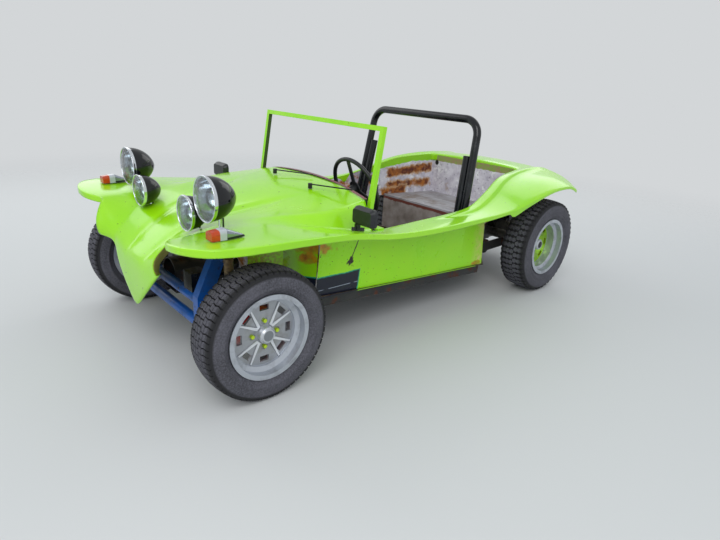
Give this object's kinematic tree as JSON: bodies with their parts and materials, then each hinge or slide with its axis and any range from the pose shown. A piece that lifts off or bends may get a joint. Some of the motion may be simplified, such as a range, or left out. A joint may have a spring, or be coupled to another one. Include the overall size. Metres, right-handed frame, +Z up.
{
  "type": "dune buggy",
  "caption": "Open lime-green fibreglass dune buggy with round lamps on stalks, bare windscreen frame, roll bar and wide rear tyres",
  "frame": {"origin": "on the ground under the middle of the whole length and width", "axes": "forward is -Y, the car's left is +X, up is +Z"},
  "size_m": [1.688, 3.362, 1.2478],
  "materials": {
    "gelcoat": "gloss",
    "black_paint": "gloss",
    "chassis_paint": "satin",
    "blue_paint": "satin",
    "rim_silver": "satin",
    "rim_green": "satin",
    "tyre": "matte",
    "steel": "satin",
    "alloy": "satin",
    "cast": "matte",
    "trim_black": "matte",
    "lamp_glass": "gloss",
    "lens_orange": "gloss",
    "lens_grey": "gloss",
    "grip": "matte",
    "plank": "matte"
  },
  "bodies": {
    "body": {"bonnet": "gelcoat", "nose": "gelcoat", "front_wing_left": "gelcoat", "front_wing_right": "gelcoat", "rear_wing_left": "gelcoat", "rear_wing_right": "gelcoat", "side_deck_left": "gelcoat", "side_deck_right": "gelcoat", "side_panel_left": "gelcoat", "side_panel_right": "gelcoat", "rear_deck": "gelcoat", "cockpit_rear": "gelcoat", "footwell": "gelcoat", "dashboard": "gelcoat", "rear_shelf": "plank", "windscreen_frame": "gelcoat", "roll_bar": "black_paint", "lamp_bowls": "black_paint", "lamp_glasses": "lamp_glass", "signal_lenses": "lens_orange", "signal_housings": "lens_grey", "mirrors": "trim_black", "wipers": "trim_black", "chassis": "chassis_paint", "front_beam": "blue_paint", "front_shocks": "blue_paint", "steering_column": "black_paint", "pedals": "steel", "gear_lever": "steel", "transaxle": "alloy", "spring_plates": "chassis_paint", "engine": "cast", "exhaust": "steel"},
    "knuckle_left": {"knuckle_left": "chassis_paint"},
    "knuckle_right": {"knuckle_right": "chassis_paint"},
    "wheel_front_left": {"front_rim_left": "rim_silver", "front_tyre_left": "tyre"},
    "wheel_front_right": {"front_rim_right": "rim_silver", "front_tyre_right": "tyre"},
    "wheel_rear_left": {"rear_rim_left": "rim_green", "rear_tyre_left": "tyre"},
    "wheel_rear_right": {"rear_rim_right": "rim_green", "rear_tyre_right": "tyre"},
    "tie_rods": {"tie_rods": "steel"},
    "steering_wheel": {"steering_wheel": "grip"}
  },
  "joints": [
    {"name": "steer_left", "type": "hinge", "parent": "body", "child": "knuckle_left", "pos_m": [0.6, -1.319, 0.319], "axis": [0, 0, 1], "range_deg": [-30, 30]},
    {"name": "steer_right", "type": "hinge", "parent": "body", "child": "knuckle_right", "pos_m": [-0.6, -1.319, 0.319], "axis": [0, 0, 1], "range_deg": [-30, 30]},
    {"name": "roll_front_left", "type": "hinge", "parent": "knuckle_left", "child": "wheel_front_left", "pos_m": [0.723, -1.319, 0.319], "axis": [1, 0, 0], "continuous": true},
    {"name": "roll_front_right", "type": "hinge", "parent": "knuckle_right", "child": "wheel_front_right", "pos_m": [-0.723, -1.319, 0.319], "axis": [1, 0, 0], "continuous": true},
    {"name": "roll_rear_left", "type": "hinge", "parent": "body", "child": "wheel_rear_left", "pos_m": [0.7, 1.081, 0.34], "axis": [1, 0, 0], "continuous": true},
    {"name": "roll_rear_right", "type": "hinge", "parent": "body", "child": "wheel_rear_right", "pos_m": [-0.7, 1.081, 0.34], "axis": [1, 0, 0], "continuous": true},
    {"name": "tie_rods_slide", "type": "slide", "parent": "body", "child": "tie_rods", "axis": [1, 0, 0], "range_m": [-0.058, 0.058]},
    {"name": "steering_wheel_turn", "type": "hinge", "parent": "body", "child": "steering_wheel", "pos_m": [0.32, -0.429, 0.835], "axis": [0, 0.9272, 0.3746], "range_deg": [-420, 420]}
  ],
  "couplings": [
    {"joint": "steer_right", "follows": "steer_left", "ratio": 1},
    {"joint": "steering_wheel_turn", "follows": "steer_left", "ratio": 14},
    {"joint": "tie_rods_slide", "follows": "steer_left", "m_per_rad": -0.11}
  ]
}
